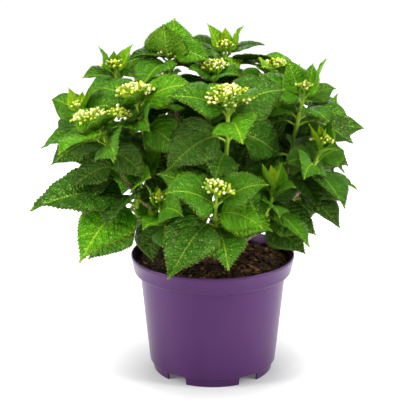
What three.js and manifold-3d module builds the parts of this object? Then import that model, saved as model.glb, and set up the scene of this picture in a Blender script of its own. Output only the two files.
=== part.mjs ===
// A potted garden hydrangea in bud: a plastic nursery pot on five feet, its compost,
// a woody root crown, the canes that rise from it, their side boughs, and one mass of
// foliage round the tip of every shoot. Millimetres, +Z up. The origin is on the
// ground under the middle of the plant, and the plant faces -Y.

import * as THREE from "three";
import { mergeVertices } from "three/addons/utils/BufferGeometryUtils.js";
import Module from "manifold-3d";

const wasm = await Module();
wasm.setup();

// ---- Driving dimensions ---------------------------------------------------------------

const GAP = 0.3; // clear space left between neighbouring pieces

const POT_HEIGHT = 168;
const POT_WALL = 2;
const POT_SIDES = 40; // a multiple of the number of feet
const RIM_RADIUS = 115;
const COLLAR_HEIGHT = 26;
const COLLAR_FOOT_RADIUS = 111;
const COLLAR_ROUNDING = 5;
const SHOULDER_RADIUS = 102.5; // the top of the wall, under the collar
const WALL_FOOT_RADIUS = 89.6;
const FEET = 5;
const FOOT_HEIGHT = 12;
const FOOT_TOP_RADIUS = 86;
const FOOT_RADIUS = 84.6;
const FOOT_THICKNESS = 2.4;
const NOTCH_WIDTH = 31; // the opening between two feet
const NOTCH_HEIGHT = 11;
const DRAIN_HOLE_RADIUS = 5;
const DRAIN_CIRCLE_RADIUS = 52;
const DRAIN_HOLE_SIDES = 8;

const SOIL_LEVEL = 154; // at the rim, below which the watering space is left free
const SOIL_CROWN = 3; // how much higher the compost stands round the plant
const SOIL_ROUGHNESS = 1.2; // height of its waves
const SOIL_WAVES = 0.07; // and how closely they follow each other
const SOIL_SHOULDER = 0.75; // where the compost's slope begins, as a share of its radius,
const SOIL_BROW = 0.5; // and where it goes on up to the flat round the plant
const SOIL_FLAT_RADIUS = 24.7;
const SOIL_EVEN_EDGE = 0.9; // beyond this share of its radius the compost has no waves

const CROWN_RADIUS = 19; // the root crown at the compost
const CROWN_HEIGHT = 20;
const CROWN_SIDES = 10;
const CROWN_PROFILE = [[1, 0], [0.88, 0.3], [0.7, 0.7], [0.4, 1]]; // shares of both
const CROWN_LOBES = 3;
const CROWN_LOBE_DEPTH = 0.09; // as a share of its radius

const CANE_ROOT_RADIUS = 5;
const CANE_ROOT_OUT = 0.55; // where a cane starts in the root crown, as a share of its radius
const CANE_ROOT_UP = 0.45; // and of its height
const CANE_TIP_RADIUS = 3.4;
const BOUGH_ROOT_RADIUS = 3.4;
const BOUGH_TIP_RADIUS = 2.7;
const CANE_FLARE = 0.4; // how far a cane sets out sideways, as a share of its spread,
const CANE_SPRAWL = 8; // and further by this
const CANE_FIRST_RISE = 0.3; // how far it rises meanwhile, as a share of its height
const LAST_STRETCH = 0.35; // share of a limb that runs straight towards its tip
const LIMB_SIDES = 6;
const CANE_STEPS = 8;
const BOUGH_STEPS = 5;

const SIDE_REACH = 228; // the furthest leaf tips to the left and right
const FRONT_REACH = 222; // and to the front and back
const LOWEST_LEAF = 171; // leaf tips hang down to just above the rim
const MASS_DETAIL = 2; // subdivision of the ball that a mass is shaped from
const MASS_BODY = 0.6; // body of a mass, as a share of its leaves' reach
const INNER_THINNING = 0.45; // share by which the body is thinner towards the plant's heart
const TOP_THINNING = 0.2; // and towards the shoot's tip
const MASS_DROP = 24; // the middle of a mass is this far below its tip,
const MASS_DROP_SHARE = 0.25; // and further by this share of its leaves' reach
const UNEVENNESS = 0.14; // share by which the body swells and shrinks
const LOBE_WIDTH = 0.36; // radians over which a leaf lobe falls away
const LOBE_SWAY = 9; // degrees by which leaf pairs stray from their crossed order
const HEART_HEIGHT = 60; // the bare middle of the clump is this far above the compost

// Bearings are in degrees from +X, counter-clockwise seen from above, so the front is at
// -90. Each cane leaves the root crown at its own bearing. Its first shoot is its leader,
// and the others are boughs that leave it at fork, a share of its length. A shoot's tip
// has a bearing, a distance out from the middle and a height; reach is how far its
// longest leaves stretch, and turn is the bearing of its lowest pair of leaves.
const CANES = [
  { name: "front", bearing: -77, shoots: [
    { name: "front_tall", bearing: -77, out: 93, height: 409, reach: 104, turn: 20 },
    { name: "front_low", fork: 0.2, bearing: -88, out: 150, height: 301, reach: 118, turn: -128 },
    { name: "front_left_small", fork: 0.16, bearing: -119, out: 146, height: 283, reach: 66, turn: -75 },
  ] },
  { name: "front_left", bearing: -138, shoots: [
    { name: "left_front", bearing: -150, out: 172, height: 382, reach: 90, turn: 150 },
    { name: "front_left_high", fork: 0.35, bearing: -146, out: 122, height: 412, reach: 86, turn: -30 },
    { name: "left_side", fork: 0.3, bearing: -147, out: 160, height: 310, reach: 124, turn: 95 },
    { name: "left_foot", fork: 0.12, bearing: -138, out: 132, height: 238, reach: 92, turn: -115 },
  ] },
  { name: "left", bearing: 179, shoots: [
    { name: "left_high", bearing: 175, out: 136, height: 433, reach: 74, turn: 10 },
    { name: "left_tip", fork: 0.6, bearing: -177, out: 184, height: 386, reach: 76, turn: 160 },
  ] },
  { name: "back_left", bearing: 130, shoots: [
    { name: "top", bearing: 158, out: 68, height: 479, reach: 74, turn: 60 },
    { name: "middle", fork: 0.45, bearing: 85, out: 22, height: 430, reach: 70, turn: -60 },
  ] },
  { name: "back", bearing: 78, shoots: [
    { name: "top_back", bearing: 77, out: 82, height: 458, reach: 80, turn: 20 },
  ] },
  { name: "right", bearing: 28, shoots: [
    { name: "right_high", bearing: 24, out: 97, height: 430, reach: 88, turn: -45 },
    { name: "right_back", fork: 0.5, bearing: 18, out: 166, height: 364, reach: 86, turn: -80 },
    { name: "right_foot", fork: 0.2, bearing: 8, out: 116, height: 288, reach: 84, turn: 40 },
  ] },
  { name: "front_right", bearing: -20, shoots: [
    { name: "right_low", bearing: -22, out: 158, height: 345, reach: 78, turn: -58 },
    { name: "right_mid", fork: 0.45, bearing: -12, out: 128, height: 411, reach: 84, turn: 20 },
    { name: "front_right_foot", fork: 0.16, bearing: -50, out: 128, height: 300, reach: 80, turn: -38 },
  ] },
];

// The boughs at the back stand in two tiers that close the crown all round. Every second
// one of a tier forks higher, reaches further out and ends lower.
const BACK_TIERS = [
  { name: "back_high", canes: ["back_left", "back", "right"], first: 125, step: -42,
    out: 146, height: 400, reach: 88 },
  { name: "back_low", canes: ["left", "back_left", "back", "right"], first: 178, step: -44,
    out: 162, height: 300, reach: 104 },
];
const BACK_FORK = 0.3;
const SECOND_FORK_RISE = 0.08;
const SECOND_OUT = 6;
const SECOND_DROP = 14;
const BACK_TURN_STEP = 35;

const COLOURS = {
  pot: { color: 0x5b3271, roughness: 0.42 },
  compost: { color: 0x3a2418, roughness: 0.95 },
  bark: { color: 0x8a6a55, roughness: 0.85 },
  bough: { color: 0x6f8a3a, roughness: 0.7 },
  leaf: { color: 0x2f6b22, roughness: 0.6 },
};

// ---- Helpers --------------------------------------------------------------------------

const UP = new THREE.Vector3(0, 0, 1);
const radians = THREE.MathUtils.degToRad;

function outward(bearing) {
  return new THREE.Vector3(Math.cos(radians(bearing)), Math.sin(radians(bearing)), 0);
}

// A geometry with only its shared vertices, ready to be cut.
function closed(geometry) {
  geometry.deleteAttribute("normal");
  geometry.deleteAttribute("uv");
  return mergeVertices(geometry, 1e-3);
}

function solidOf(geometry) {
  const merged = closed(geometry);
  const corners = merged.getIndex().array;
  const triangles = [];
  for (let i = 0; i < corners.length; i += 3) {
    const [a, b, c] = corners.slice(i, i + 3);
    if (a !== b && b !== c && c !== a) triangles.push(a, b, c);
  }
  const mesh = new wasm.Mesh({
    numProp: 3,
    vertProperties: Float32Array.from(merged.getAttribute("position").array),
    triVerts: Uint32Array.from(triangles),
  });
  return new wasm.Manifold(mesh);
}

function geometryOf(solid) {
  const mesh = solid.getMesh();
  const geometry = new THREE.BufferGeometry();
  geometry.setAttribute("position", new THREE.BufferAttribute(mesh.vertProperties, 3));
  geometry.setIndex(new THREE.BufferAttribute(mesh.triVerts, 1));
  return geometry;
}

function moveVertices(geometry, move) {
  const position = geometry.getAttribute("position");
  const vertex = new THREE.Vector3();
  for (let i = 0; i < position.count; i += 1) {
    move(vertex.fromBufferAttribute(position, i), i);
    position.setXYZ(i, vertex.x, vertex.y, vertex.z);
  }
  return geometry;
}

// A turned shape from a profile of radius and height.
function turned(profile, sides) {
  const points = profile.map(([radius, height]) => new THREE.Vector2(radius, height));
  const lathe = new THREE.LatheGeometry(points, sides, -Math.PI / sides);
  return lathe.rotateX(Math.PI / 2);
}

// A tapered round limb along a curve.
function limb(curve, rootRadius, tipRadius, steps) {
  const frames = curve.computeFrenetFrames(steps);
  const cylinder = new THREE.CylinderGeometry(tipRadius, rootRadius, 1, LIMB_SIDES, steps);
  return moveVertices(cylinder, (vertex) => {
    const along = vertex.y + 0.5;
    const step = Math.round(along * steps);
    const { x, z } = vertex;
    vertex.copy(curve.getPointAt(along));
    vertex.addScaledVector(frames.normals[step], x);
    vertex.addScaledVector(frames.binormals[step], -z);
  });
}

// A smooth, repeatable unevenness between -1 and 1.
function uneven(vector, seed) {
  const a = Math.sin(vector.x * 2.3 + seed * 1.7) + Math.sin(vector.y * 2.9 + seed * 2.6);
  const b = Math.sin(vector.z * 3.1 + seed * 0.9 + vector.x * 1.3);
  return (a + b) / 3;
}

// ---- Pot ------------------------------------------------------------------------------

const COLLAR_FOOT = POT_HEIGHT - COLLAR_HEIGHT;
const POT_FLOOR = FOOT_HEIGHT + POT_WALL;

function collarInnerRadius(height) {
  const share = (height - COLLAR_FOOT) / COLLAR_HEIGHT;
  return THREE.MathUtils.lerp(COLLAR_FOOT_RADIUS, RIM_RADIUS, share) - POT_WALL;
}

function collarRounding() {
  const points = [];
  for (const turn of [0, 45, 90]) {
    const across = Math.sin(radians(turn)) - 1;
    const down = Math.cos(radians(turn)) - 1;
    points.push([COLLAR_FOOT_RADIUS + COLLAR_ROUNDING * across, COLLAR_FOOT - COLLAR_ROUNDING * down]);
  }
  return points;
}

// The opening between two feet, cut right through the foot ring and up from the ground.
function footNotch(towards) {
  const through = 4 * FOOT_THICKNESS;
  const notch = new THREE.BoxGeometry(through, NOTCH_WIDTH, 2 * NOTCH_HEIGHT);
  return solidOf(notch.translate(FOOT_RADIUS - FOOT_THICKNESS / 2, 0, 0).rotateZ(towards));
}

function drainHole(towards) {
  const through = 4 * POT_WALL;
  const radius = DRAIN_HOLE_RADIUS;
  const hole = new THREE.CylinderGeometry(radius, radius, through, DRAIN_HOLE_SIDES);
  hole.rotateX(Math.PI / 2).translate(DRAIN_CIRCLE_RADIUS, 0, POT_FLOOR);
  return solidOf(hole.rotateZ(towards));
}

function potSolid() {
  const profile = [
    [0, FOOT_HEIGHT],
    [FOOT_TOP_RADIUS - FOOT_THICKNESS, FOOT_HEIGHT],
    [FOOT_RADIUS - FOOT_THICKNESS, 0],
    [FOOT_RADIUS, 0],
    [FOOT_TOP_RADIUS, FOOT_HEIGHT],
    [WALL_FOOT_RADIUS, FOOT_HEIGHT],
    [SHOULDER_RADIUS, COLLAR_FOOT],
    ...collarRounding(),
    [RIM_RADIUS, POT_HEIGHT],
    [RIM_RADIUS - POT_WALL, POT_HEIGHT],
    [collarInnerRadius(COLLAR_FOOT + POT_WALL), COLLAR_FOOT + POT_WALL],
    [SHOULDER_RADIUS - POT_WALL, COLLAR_FOOT + POT_WALL],
    [WALL_FOOT_RADIUS - POT_WALL, POT_FLOOR],
    [0, POT_FLOOR],
  ];
  let pot = solidOf(turned(profile, POT_SIDES));
  for (let i = 0; i < FEET; i += 1) {
    const towards = radians(-90 + (360 / FEET) * (i + 0.5));
    pot = pot.subtract(footNotch(towards)).subtract(drainHole(towards));
  }
  return pot;
}

// ---- Compost and root crown -----------------------------------------------------------

const SOIL_TOP = SOIL_LEVEL + SOIL_CROWN;

function soilSolid() {
  const shelf = COLLAR_FOOT + POT_WALL + GAP;
  const edge = collarInnerRadius(SOIL_LEVEL) - GAP;
  const profile = [
    [0, POT_FLOOR + GAP],
    [WALL_FOOT_RADIUS - POT_WALL - GAP, POT_FLOOR + GAP],
    [SHOULDER_RADIUS - POT_WALL - GAP, shelf],
    [collarInnerRadius(shelf) - GAP, shelf],
    [edge, SOIL_LEVEL],
    [edge * SOIL_SHOULDER, SOIL_LEVEL + SOIL_CROWN / 2],
    [edge * SOIL_BROW, SOIL_LEVEL + SOIL_CROWN / 2],
    [SOIL_FLAT_RADIUS, SOIL_TOP],
    [0, SOIL_TOP],
  ];
  const soil = turned(profile, POT_SIDES);
  return moveVertices(soil, (vertex) => {
    const out = Math.hypot(vertex.x, vertex.y);
    const onSlope = out > SOIL_FLAT_RADIUS + GAP && out < edge * SOIL_EVEN_EDGE;
    if (vertex.z < SOIL_LEVEL || !onSlope) return;
    vertex.z += SOIL_ROUGHNESS * uneven(vertex.clone().multiplyScalar(SOIL_WAVES), 1);
  });
}

function rootCrown(extra) {
  const foot = SOIL_TOP + GAP - extra;
  const height = CROWN_HEIGHT + 2 * extra;
  const wall = CROWN_PROFILE.map(([out, up]) => [CROWN_RADIUS * out + extra, foot + height * up]);
  const crown = turned([[0, foot], ...wall, [0, foot + height]], CROWN_SIDES);
  return solidOf(moveVertices(crown, (vertex) => {
    const around = Math.atan2(vertex.y, vertex.x);
    const bulge = 1 + CROWN_LOBE_DEPTH * Math.sin(CROWN_LOBES * around + 1);
    vertex.x *= bulge;
    vertex.y *= bulge;
  }));
}

// ---- Shoots ---------------------------------------------------------------------------

function namedShoots() {
  return CANES.flatMap(({ name, shoots }) => shoots.map((shoot) => ({ ...shoot, cane: name })));
}

function backShoots() {
  return BACK_TIERS.flatMap((tier) => tier.canes.map((cane, i) => {
    const bearing = tier.first + tier.step * i;
    const second = i % 2;
    return {
      name: `${tier.name}_${i + 1}`,
      cane,
      fork: BACK_FORK + SECOND_FORK_RISE * second,
      bearing,
      out: tier.out + SECOND_OUT * second,
      height: tier.height - SECOND_DROP * second,
      reach: tier.reach,
      turn: bearing + BACK_TURN_STEP * (i % 3),
    };
  }));
}

// The tip of a shoot, the way it points there and the middle of its mass below the tip.
function placed(shoot, index) {
  const tip = outward(shoot.bearing).multiplyScalar(shoot.out).setZ(shoot.height);
  const fromCrown = tip.clone().setZ(tip.z - SOIL_TOP).normalize();
  const axis = fromCrown.add(UP).normalize();
  const middle = tip.clone().addScaledVector(axis, -MASS_DROP - MASS_DROP_SHARE * shoot.reach);
  return { ...shoot, seed: index + 1, tip, axis, middle };
}

const shoots = [...namedShoots(), ...backShoots()].map(placed);
const shootNamed = Object.fromEntries(shoots.map((shoot) => [shoot.name, shoot]));

// ---- Foliage masses -------------------------------------------------------------------

const HEART = new THREE.Vector3(0, 0, SOIL_TOP + HEART_HEIGHT);

// Leaves stand in crossed pairs: the lowest are the longest and hang, the highest are
// the youngest and rise towards the tip.
const PAIR_RISE = [-28, 2, 30]; // degrees above the level, from the lowest pair up
const PAIR_LENGTH = [1, 0.95, 0.7];

function leafLobes(shoot) {
  const lobes = [];
  PAIR_RISE.forEach((rise, pair) => {
    for (const side of [0, 180]) {
      const sway = LOBE_SWAY * Math.sin(shoot.seed + pair);
      const bearing = shoot.turn + 90 * pair + side + sway;
      const towards = outward(bearing).multiplyScalar(Math.cos(radians(rise)));
      towards.z = Math.sin(radians(rise));
      lobes.push({ towards, length: shoot.reach * PAIR_LENGTH[pair] });
    }
  });
  return lobes;
}

// Flat limits that hold a mass in: its neighbours, the crown's outline, the pot below
// and its own tip above. Each is a direction and how far the mass may go along it.
function limits(shoot) {
  const held = [
    { towards: new THREE.Vector3(1, 0, 0), room: SIDE_REACH - shoot.middle.x },
    { towards: new THREE.Vector3(-1, 0, 0), room: SIDE_REACH + shoot.middle.x },
    { towards: new THREE.Vector3(0, 1, 0), room: FRONT_REACH - shoot.middle.y },
    { towards: new THREE.Vector3(0, -1, 0), room: FRONT_REACH + shoot.middle.y },
    { towards: new THREE.Vector3(0, 0, -1), room: shoot.middle.z - LOWEST_LEAF },
    { towards: new THREE.Vector3(0, 0, 1), room: shoot.tip.z - shoot.middle.z },
  ];
  for (const other of shoots) {
    const between = other.middle.clone().sub(shoot.middle);
    const share = shoot.reach / (shoot.reach + other.reach);
    const room = between.length() * share - GAP / 2;
    if (other !== shoot) held.push({ towards: between.normalize(), room });
  }
  return held;
}

// A mass is a ball pushed out into a lobe for every leaf and held in by its limits. Its
// corner nearest each leaf becomes that leaf's tip, and one more is the shoot's own tip.
function foliage(shoot) {
  const ball = closed(new THREE.IcosahedronGeometry(1, MASS_DETAIL));
  const position = ball.getAttribute("position");
  const corners = Array.from({ length: position.count }, (_, i) =>
    new THREE.Vector3().fromBufferAttribute(position, i).normalize());
  const nearest = (towards) => {
    const closeness = corners.map((corner) => corner.dot(towards));
    return closeness.indexOf(Math.max(...closeness));
  };
  const lobes = leafLobes(shoot);
  const body = shoot.reach * MASS_BODY;
  const inward = HEART.clone().sub(shoot.middle).normalize();
  const radii = corners.map((corner) => {
    const bulge = lobes.map(({ towards, length }) =>
      (length - body) * Math.exp(-((corner.angleTo(towards) / LOBE_WIDTH) ** 2)));
    const thin = 1 - INNER_THINNING * Math.max(0, corner.dot(inward))
      - TOP_THINNING * Math.max(0, corner.dot(shoot.axis));
    return body * thin * (1 + UNEVENNESS * uneven(corner, shoot.seed)) + Math.max(...bulge);
  });
  for (const { towards, length } of lobes) {
    const corner = nearest(towards);
    corners[corner].copy(towards);
    radii[corner] = length;
  }
  const held = limits(shoot);
  const within = (corner, radius) => Math.min(radius, ...held
    .filter((limit) => corner.dot(limit.towards) > 0)
    .map((limit) => limit.room / corner.dot(limit.towards)));
  const toTip = shoot.tip.clone().sub(shoot.middle);
  const top = nearest(toTip.clone().normalize());
  corners[top].copy(toTip).normalize();
  radii[top] = toTip.length();
  const room = corners.map((corner, i) => within(corner, radii[i]));
  return (extra) => {
    const shaped = moveVertices(ball.clone(), (vertex, i) =>
      vertex.copy(corners[i]).multiplyScalar(room[i] + extra).add(shoot.middle));
    return solidOf(shaped);
  };
}

// ---- Limbs ----------------------------------------------------------------------------

function leaderOf(cane) {
  return cane.shoots[0].name;
}

function caneCurve(cane) {
  const { middle, axis } = shootNamed[leaderOf(cane)];
  const foot = outward(cane.bearing).multiplyScalar(CROWN_RADIUS * CANE_ROOT_OUT);
  foot.z = SOIL_TOP + CROWN_HEIGHT * CANE_ROOT_UP;
  const rise = middle.z - foot.z;
  const spread = Math.hypot(middle.x, middle.y);
  const flare = foot.clone().addScaledVector(outward(cane.bearing), CANE_FLARE * spread + CANE_SPRAWL);
  flare.z += CANE_FIRST_RISE * rise;
  const last = middle.clone().addScaledVector(axis, -LAST_STRETCH * rise);
  return new THREE.CubicBezierCurve3(foot, flare, last, middle);
}

function boughCurve(shoot, parent) {
  const start = parent.getPointAt(shoot.fork);
  const along = parent.getTangentAt(shoot.fork);
  const span = shoot.middle.distanceTo(start);
  const towards = shoot.middle.clone().sub(start).normalize().add(along).normalize();
  const first = start.clone().addScaledVector(towards, LAST_STRETCH * span);
  const last = shoot.middle.clone().addScaledVector(shoot.axis, -LAST_STRETCH * span);
  return new THREE.CubicBezierCurve3(start, first, last, shoot.middle.clone());
}

function caneSolid(curve, extra) {
  return solidOf(limb(curve, CANE_ROOT_RADIUS + extra, CANE_TIP_RADIUS + extra, CANE_STEPS));
}

function boughSolid(curve, extra) {
  return solidOf(limb(curve, BOUGH_ROOT_RADIUS + extra, BOUGH_TIP_RADIUS + extra, BOUGH_STEPS));
}

function makeLimbs(masses) {
  const limbs = [];
  const crown = rootCrown(GAP);
  const curves = {};
  for (const cane of CANES) {
    const curve = caneCurve(cane);
    const leader = leaderOf(cane);
    curves[cane.name] = curve;
    const solid = caneSolid(curve, 0).subtract(crown).subtract(masses[leader](2 * GAP));
    limbs.push({ name: `cane_${cane.name}`, shoot: leader, solid, room: caneSolid(curve, GAP) });
  }
  for (const shoot of shoots.filter(({ fork }) => fork)) {
    const curve = boughCurve(shoot, curves[shoot.cane]);
    let solid = boughSolid(curve, 0).subtract(masses[shoot.name](2 * GAP));
    for (const other of limbs) solid = solid.subtract(other.room);
    limbs.push({ name: `bough_${shoot.name}`, shoot: shoot.name, solid, room: boughSolid(curve, GAP) });
  }
  return limbs;
}

// ---- Assembly -------------------------------------------------------------------------

const plant = new THREE.Group();

function add(name, geometry, { color, roughness }) {
  const material = new THREE.MeshStandardMaterial({ color, roughness, metalness: 0 });
  const mesh = new THREE.Mesh(geometry, material);
  mesh.name = name;
  plant.add(mesh);
}

const masses = Object.fromEntries(shoots.map((shoot) => [shoot.name, foliage(shoot)]));
const limbs = makeLimbs(masses);

add("pot", geometryOf(potSolid()), COLOURS.pot);
add("compost", soilSolid(), COLOURS.compost);
add("root_crown", geometryOf(rootCrown(0)), COLOURS.bark);
for (const { name, solid } of limbs) {
  add(name, geometryOf(solid), name.startsWith("cane") ? COLOURS.bark : COLOURS.bough);
}
for (const shoot of shoots) {
  let mass = masses[shoot.name](0);
  for (const other of limbs) {
    if (other.shoot !== shoot.name) mass = mass.subtract(other.room);
  }
  add(`foliage_${shoot.name}`, geometryOf(mass), COLOURS.leaf);
}

export default plant;
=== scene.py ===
import math

import bpy
import numpy as np
from mathutils import Matrix, Vector, noise
from mathutils.bvhtree import BVHTree


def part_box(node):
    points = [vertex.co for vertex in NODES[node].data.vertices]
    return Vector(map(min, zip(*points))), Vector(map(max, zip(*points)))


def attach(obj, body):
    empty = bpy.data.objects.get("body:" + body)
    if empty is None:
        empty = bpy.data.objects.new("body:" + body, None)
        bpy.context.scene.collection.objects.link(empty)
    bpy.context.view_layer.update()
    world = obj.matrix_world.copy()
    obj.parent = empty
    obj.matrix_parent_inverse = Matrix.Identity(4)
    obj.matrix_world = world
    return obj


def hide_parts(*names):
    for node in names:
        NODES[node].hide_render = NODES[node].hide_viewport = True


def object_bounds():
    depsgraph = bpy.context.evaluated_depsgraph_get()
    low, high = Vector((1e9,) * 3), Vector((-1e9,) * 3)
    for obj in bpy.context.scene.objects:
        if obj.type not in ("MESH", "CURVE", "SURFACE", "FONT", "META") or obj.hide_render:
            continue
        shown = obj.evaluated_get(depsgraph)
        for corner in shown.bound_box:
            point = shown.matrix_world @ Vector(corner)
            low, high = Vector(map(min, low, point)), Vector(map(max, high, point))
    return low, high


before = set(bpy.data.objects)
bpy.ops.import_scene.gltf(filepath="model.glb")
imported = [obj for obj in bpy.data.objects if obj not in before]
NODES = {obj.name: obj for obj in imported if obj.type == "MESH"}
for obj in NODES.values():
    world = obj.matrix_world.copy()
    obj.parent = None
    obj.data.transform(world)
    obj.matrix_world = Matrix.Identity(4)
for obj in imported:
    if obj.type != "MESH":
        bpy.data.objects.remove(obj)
cad_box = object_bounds()

# ---- Driving dimensions, in metres ------------------------------------------------------

SEED = 7
UP = np.array([0.0, 0.0, 1.0])
GOLDEN_ANGLE = math.pi * (3 - math.sqrt(5))

POT_SIDES = 160
POT_WALL = 0.002
WALL_CHAMFER = 0.0012
WALL_ROWS = 8
COLLAR_HEIGHT = 0.026
COLLAR_FOOT_RADIUS = 0.111
COLLAR_ROUNDING = 0.005
SHOULDER_RADIUS = 0.1025
WALL_FOOT_RADIUS = 0.0896
FEET = 5
FOOT_HEIGHT = 0.012
FOOT_TOP_RADIUS = 0.086
FOOT_RADIUS = 0.0846
FOOT_THICKNESS = 0.0024
NOTCH_WIDTH = 0.031
NOTCH_HEIGHT = 0.011
NOTCH_ROUNDING = 0.003
DRAIN_HOLE_RADIUS = 0.005
DRAIN_CIRCLE_RADIUS = 0.052

MASS_DROP = 0.024  # the middle of a shoot's foliage is this far below its tip,
MASS_DROP_SHARE = 0.25  # and further by this share of its leaves' reach

VEINS = 8  # side veins on each half of a leaf
VEIN_SLANT = 0.75  # how far a side vein runs forward for each step outwards,
VEIN_CURVE = 1.2  # and how much more the further out it is
MESH_SCALE = 6.5  # how many meshes of fine netting there are to a leaf's length, roughly,
MESH_DENSITY = 4.4  # times this
SHAPE_FOOT = 0.72  # the leaf's outline: round at its foot
SHAPE_TIP = 1.4  # and drawn out to its tip
LEAF_THICKNESS = 0.0004
LEAF_RELIEF = 0.0024  # depth of the fine netting and the hollows along the veins
TOOTH_OUT = 0.056  # how far a tooth stands out, as a share of the leaf's width,
TOOTH_IN = -0.02  # and how far the notch beside it goes in
QUILTING = 0.042  # how high a leaf swells between its side veins, as a share of its length
LEAST_WIDTH = 0.045  # how far a leaf narrows at its foot and tip
EDGE_SAG = 0.9  # how much the margins curl down
GROOVE_WIDTH = 0.012  # the groove along the midrib, as shares of the leaf's length
GROOVE_DEPTH = 0.004
LONG_WAVES = 1.7  # waves along the margin
SHORT_WAVES = 4.3
UV_MIDDLE = 0.25  # the upper face fills one half of the leaf's map, the lower the other
UV_HALF_WIDTH = 0.23
UV_FOOT = 0.02
UV_LENGTH = 0.96


# ---- Finishes ---------------------------------------------------------------------------


def paint(code):
    """A colour given as six hexadecimal digits, made linear."""
    parts = [int(code[i : i + 2], 16) / 255 for i in (0, 2, 4)]
    linear = [p / 12.92 if p <= 0.04045 else ((p + 0.055) / 1.055) ** 2.4 for p in parts]
    return (*linear, 1.0)


class Signal:
    """A shader socket that arithmetic can be written with."""

    def __init__(self, finish, socket):
        self.finish = finish
        self.socket = socket

    def maths(self, operation, *values):
        inputs = dict(enumerate(values))
        return self.finish.node("Math", {"operation": operation}, inputs)

    def __add__(self, other):
        return self.maths("ADD", self, other)

    __radd__ = __add__

    def __sub__(self, other):
        return self.maths("SUBTRACT", self, other)

    def __rsub__(self, other):
        return self.maths("SUBTRACT", other, self)

    def __mul__(self, other):
        return self.maths("MULTIPLY", self, other)

    __rmul__ = __mul__

    def __truediv__(self, other):
        return self.maths("DIVIDE", self, other)

    def __pow__(self, other):
        return self.maths("POWER", self, other)

    def __abs__(self):
        return self.maths("ABSOLUTE", self)

    def fraction(self):
        return self.maths("FRACT", self)

    def eased(self, low, high):
        """From 0 below low to 1 above high, or the other way round if low is the larger."""
        settings = {"interpolation_type": "SMOOTHSTEP"}
        return self.finish.node("MapRange", settings, {0: self, 1: low, 2: high})


class Finish:
    """A material under construction."""

    def __init__(self, name, **constants):
        self.material = bpy.data.materials.new(name)
        self.material.use_nodes = True
        self.tree = self.material.node_tree
        self.shader = self.tree.nodes["Principled BSDF"]
        for key, value in constants.items():
            self.shader.inputs[key.replace("_", " ")].default_value = value

    def node(self, kind, settings=None, inputs=None, output=0):
        node = self.tree.nodes.new("ShaderNode" + kind)
        for key, value in (settings or {}).items():
            setattr(node, key, value)
        for key, value in (inputs or {}).items():
            self.feed(node.inputs[key], value)
        return Signal(self, node.outputs[output])

    def feed(self, socket, value):
        if isinstance(value, Signal):
            self.tree.links.new(value.socket, socket)
        else:
            socket.default_value = value

    def set(self, **inputs):
        for key, value in inputs.items():
            self.feed(self.shader.inputs[key.replace("_", " ")], value)
        return self.material

    def place(self):
        return self.node("TexCoord", output="Object")

    def mix(self, share, first, second):
        return self.node("Mix", {"data_type": "RGBA"}, {0: share, 6: first, 7: second}, 2)

    def stretched(self, scale, place=None):
        place = place or self.place()
        return self.node("Mapping", {}, {"Vector": place, "Scale": scale})

    def clouds(self, scale, detail=3.0, place=None, roughness=0.5):
        inputs = {"Vector": place or self.place(), "Scale": scale, "Detail": detail,
                  "Roughness": roughness}
        return self.node("TexNoise", {}, inputs)

    def cells(self, scale, feature="F1", place=None, output="Distance"):
        inputs = {"Vector": place or self.place(), "Scale": scale}
        return self.node("TexVoronoi", {"feature": feature}, inputs, output)

    def bump(self, height, strength, distance):
        inputs = {"Height": height, "Strength": strength, "Distance": distance}
        return self.node("Bump", {}, inputs)


def leaf_outline(along):
    """Half width of a leaf at a share of its length, 1 at its widest."""
    widest = SHAPE_FOOT / (SHAPE_FOOT + SHAPE_TIP)
    top = widest**SHAPE_FOOT * (1 - widest) ** SHAPE_TIP
    return along**SHAPE_FOOT * (1 - along) ** SHAPE_TIP * (1 / top)


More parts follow.
